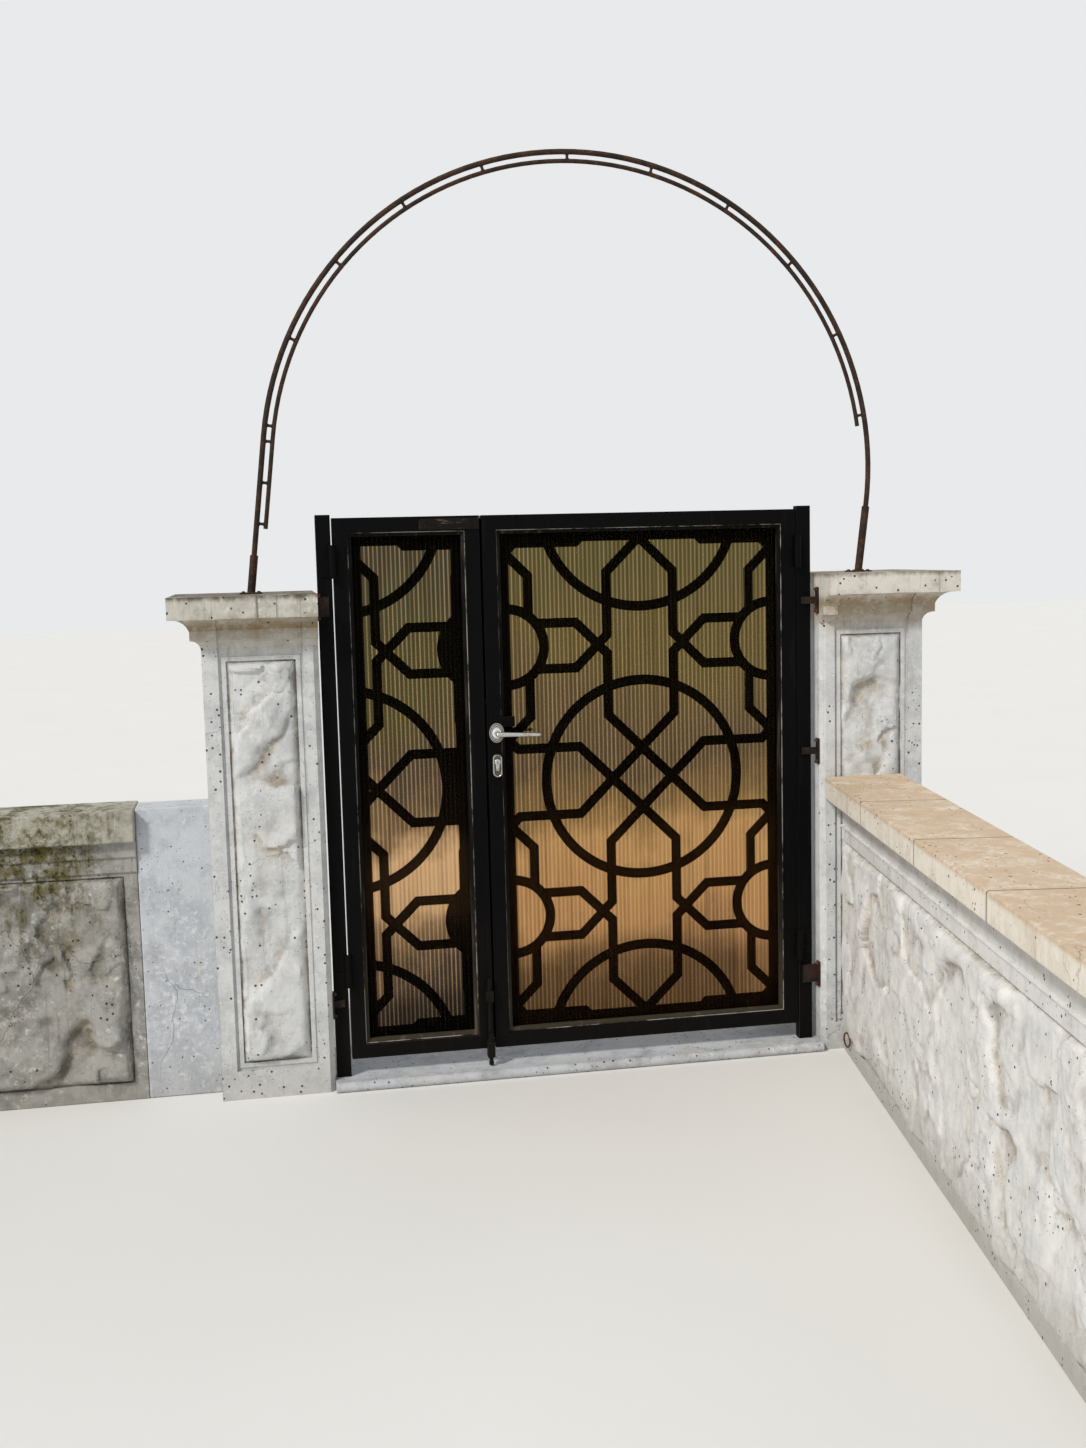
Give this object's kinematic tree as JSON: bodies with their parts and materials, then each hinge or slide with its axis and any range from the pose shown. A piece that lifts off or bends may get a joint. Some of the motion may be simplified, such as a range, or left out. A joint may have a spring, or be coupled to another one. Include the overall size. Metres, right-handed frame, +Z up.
{
  "type": "garden gate",
  "caption": "Steel garden gate with a narrow and a wide leaf, strapwork lattice over ribbed clear sheet, precast piers, low walls and a round arch for roses.",
  "frame": {"origin": "on the threshold's underside at paving level, under the middle of the two leaves and in the plane of their garden faces", "axes": "+X along the gate to the walking leaf's hinges, +Y out to the street, +Z up"},
  "size_m": [4.112, 2.4205, 2.58],
  "materials": {
    "pier_concrete": "rough pitted cast concrete",
    "cap_concrete": "cast concrete with brown water streaks",
    "wall_concrete": "cast concrete with a rock face",
    "grey_coping": "weathered concrete with moss",
    "ochre_coping": "ochre stained concrete",
    "threshold_concrete": "smooth cast concrete",
    "arch_paint": "old dark paint with rust",
    "rusty_iron": "rusty",
    "ribbed_sheet": "clear bronze, ribbed",
    "bead_paint": "black paint with a pale sealant line",
    "satin_nickel": "satin",
    "lock_steel": "dull",
    "worn_black": "black paint worn at the edges",
    "black_paint": "satin black paint"
  },
  "bodies": {
    "gateway": {"threshold": "threshold_concrete", "left_pier_shaft": "pier_concrete", "left_pier_cap": "cap_concrete", "right_pier_shaft": "pier_concrete", "right_pier_cap": "cap_concrete", "left_wall_pad": "wall_concrete", "left_low_wall": "wall_concrete", "left_wall_coping": "grey_coping", "right_low_wall": "wall_concrete", "right_wall_coping": "ochre_coping", "left_gate_post": "black_paint", "right_gate_post": "black_paint", "post_caps": "black_paint", "left_post_lugs": "black_paint", "right_post_lugs": "black_paint", "post_hinge_pins": "black_paint", "arch_main_hoop": "arch_paint", "arch_inner_hoop": "arch_paint", "arch_rungs": "arch_paint", "arch_sockets": "arch_paint", "iron_ring": "rusty_iron"},
    "left_leaf": {"left_leaf_frame": "black_paint", "left_leaf_bead": "bead_paint", "left_leaf_sheet": "ribbed_sheet", "left_leaf_lattice": "black_paint", "left_leaf_knuckles": "black_paint", "top_rail_plate": "worn_black", "drop_bolt_guides": "black_paint", "strike_plate": "lock_steel"},
    "right_leaf": {"right_leaf_frame": "black_paint", "right_leaf_bead": "bead_paint", "right_leaf_sheet": "ribbed_sheet", "right_leaf_lattice": "black_paint", "right_leaf_knuckles": "black_paint", "lock_faceplate": "lock_steel", "handle_roses": "satin_nickel", "cylinder_escutcheons": "satin_nickel", "stile_block": "black_paint"},
    "drop_bolt": {"drop_bolt": "worn_black"},
    "lever": {"lever_handles": "satin_nickel"}
  },
  "joints": [
    {"name": "left_leaf_hinge", "type": "hinge", "parent": "gateway", "child": "left_leaf", "pos_m": [-0.655, -0.012, 0.827], "axis": [0, 0, -1], "range_deg": [0, 90]},
    {"name": "right_leaf_hinge", "type": "hinge", "parent": "gateway", "child": "right_leaf", "pos_m": [0.655, -0.012, 0.827], "axis": [0, 0, 1], "range_deg": [0, 85]},
    {"name": "drop_bolt_slide", "type": "slide", "parent": "left_leaf", "child": "drop_bolt", "axis": [0, 0, 1], "range_m": [0, 0.045]},
    {"name": "lever_turn", "type": "hinge", "parent": "right_leaf", "child": "lever", "pos_m": [-0.221, 0.02, 0.977], "axis": [0, 1, 0], "range_deg": [0, 35], "stiffness_Nm_per_rad": 2, "springref_deg": -28.65}
  ]
}
